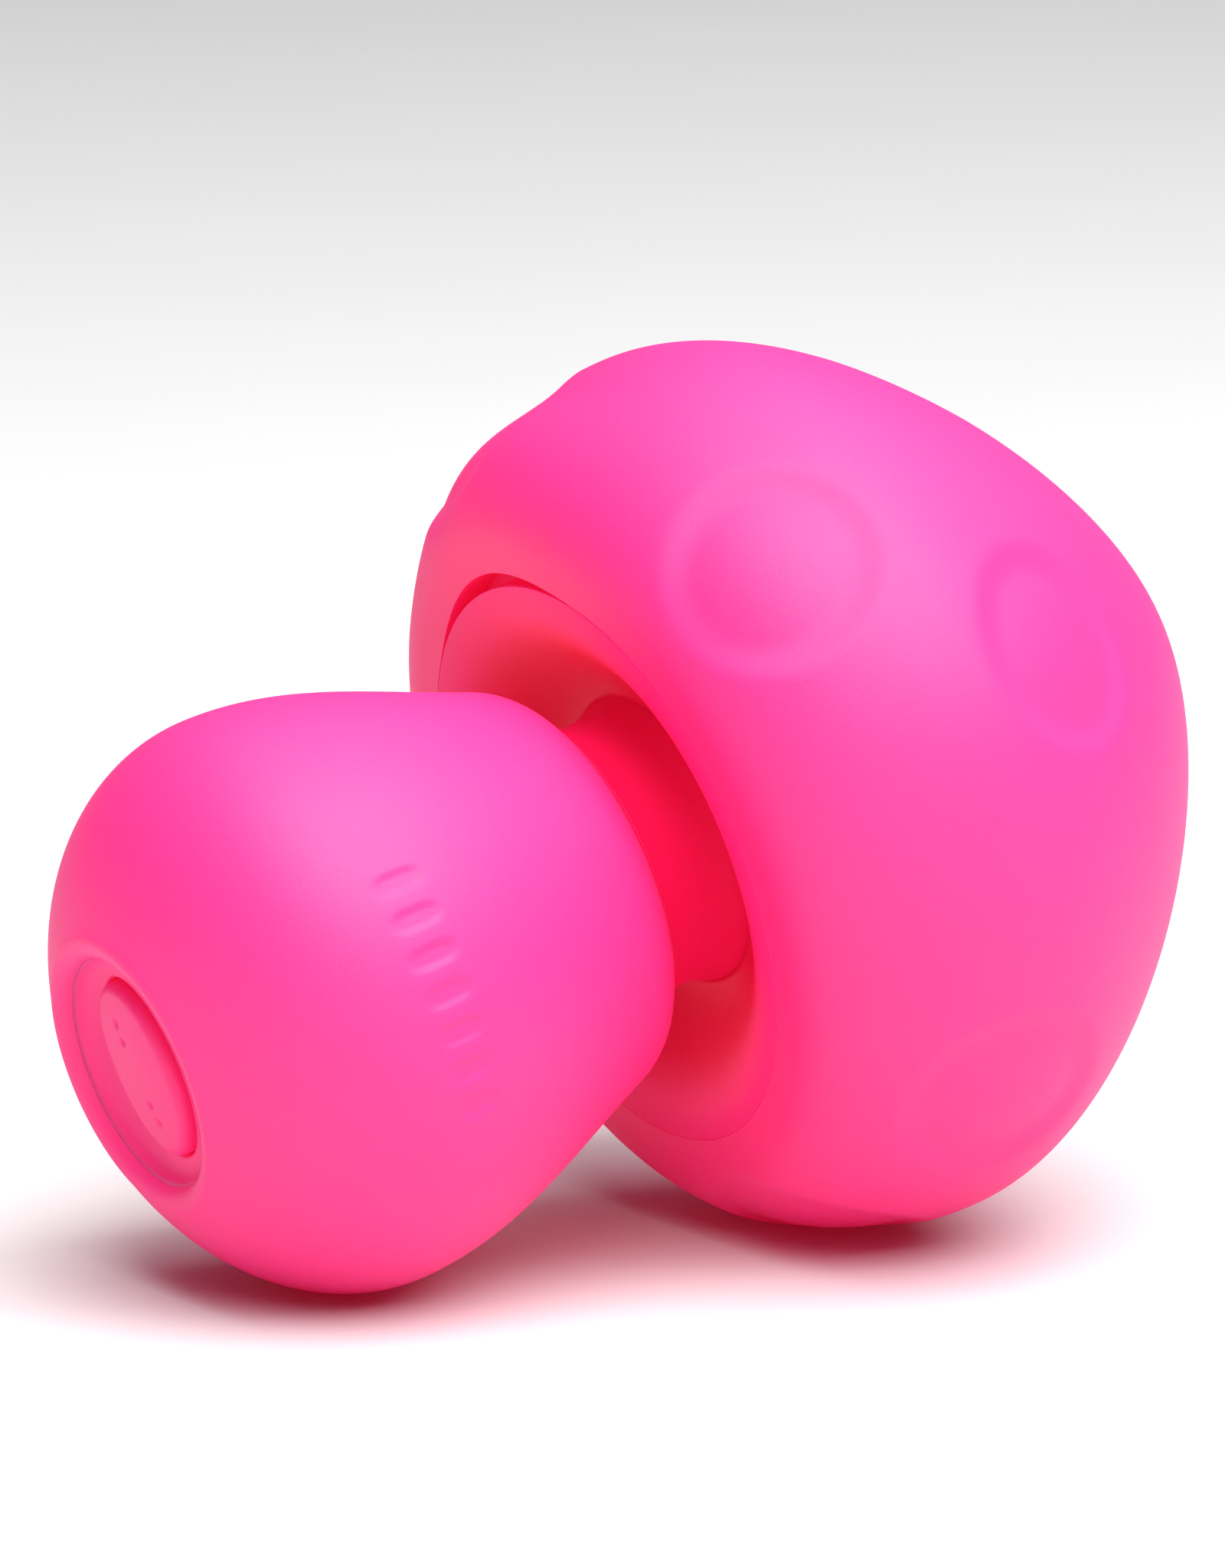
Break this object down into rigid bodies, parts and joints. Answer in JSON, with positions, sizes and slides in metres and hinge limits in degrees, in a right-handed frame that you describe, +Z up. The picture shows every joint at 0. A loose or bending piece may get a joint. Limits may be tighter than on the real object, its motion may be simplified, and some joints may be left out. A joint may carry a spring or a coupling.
{
  "type": "handheld massager",
  "caption": "Mushroom-shaped handheld massager lying on its side: silicone bulb stem with an oval push pad in its end, soft neck, and a round dented cap holding a vibration motor.",
  "frame": {"origin": "on the surface the massager lies on, under the middle of its bounding box", "axes": "+Z up; +X along the long axis as seen from above, from the stem end towards the cap; the long axis rises towards the cap by the angle at which both bellies touch the surface"},
  "size_m": [0.0728, 0.0552, 0.054],
  "materials": {
    "pink_silicone": "matte, soft-touch",
    "pink_plastic": "moulded",
    "white_plastic": "moulded",
    "black_plastic": "moulded",
    "black_rubber": "matte",
    "green_board": "solder mask",
    "battery_wrap": "shrink wrap",
    "steel": "plated",
    "brass": "turned",
    "copper": "enamelled windings",
    "magnet": "sintered",
    "red_wire": "smooth",
    "black_wire": "smooth"
  },
  "bodies": {
    "stem": {"stem_skin": "pink_silicone", "neck_skin": "pink_silicone", "stem_shell_left": "pink_plastic", "stem_shell_right": "pink_plastic", "end_plate": "pink_plastic", "switch_body_1": "black_plastic", "switch_body_2": "black_plastic", "charge_socket": "black_plastic", "circuit_board": "green_board", "battery": "battery_wrap", "neck_core": "black_rubber", "stem_screw_1": "steel", "stem_screw_2": "steel", "motor_lead_red": "red_wire", "motor_lead_black": "black_wire"},
    "button": {"button_pad": "pink_silicone", "button_actuator": "white_plastic"},
    "plunger_1": {"switch_plunger_1": "white_plastic"},
    "plunger_2": {"switch_plunger_2": "white_plastic"},
    "head": {"cap_skin": "pink_silicone", "cap_collar": "pink_silicone", "head_base": "white_plastic", "head_dome": "white_plastic", "head_screw_1": "steel", "head_screw_2": "steel", "head_screw_3": "steel", "motor_can": "steel", "motor_end_cap": "black_plastic", "motor_bush": "brass", "motor_magnet_1": "magnet", "motor_magnet_2": "magnet", "motor_cradle": "white_plastic"},
    "rotor": {"motor_shaft": "steel", "motor_armature": "copper", "eccentric_weight": "brass"}
  },
  "joints": [
    {"name": "button_press", "type": "slide", "parent": "stem", "child": "button", "axis": [0.9591, 0, 0.283], "range_m": [0, 0.0006], "stiffness_N_per_m": 1500},
    {"name": "plunger_1_travel", "type": "slide", "parent": "stem", "child": "plunger_1", "axis": [0.9591, 0, 0.283], "range_m": [0, 0.0003]},
    {"name": "plunger_2_travel", "type": "slide", "parent": "stem", "child": "plunger_2", "axis": [0.9591, 0, 0.283], "range_m": [0, 0.0003]},
    {"name": "neck_bend", "type": "hinge", "parent": "stem", "child": "head", "pos_m": [-0.00189, 0, 0.02345], "axis": [-0.283, 0, 0.9591], "range_deg": [-7, 7], "stiffness_Nm_per_rad": 1.5, "deforming": ["neck_skin", "neck_core", "motor_lead_red", "motor_lead_black"]},
    {"name": "rotor_spin", "type": "hinge", "parent": "head", "child": "rotor", "pos_m": [-0.00189, 0, 0.02345], "axis": [0.9591, 0, 0.283], "continuous": true}
  ],
  "couplings": [
    {"joint": "plunger_1_travel", "follows": "button_press", "ratio": 0.5},
    {"joint": "plunger_2_travel", "follows": "button_press", "ratio": 0.5}
  ]
}
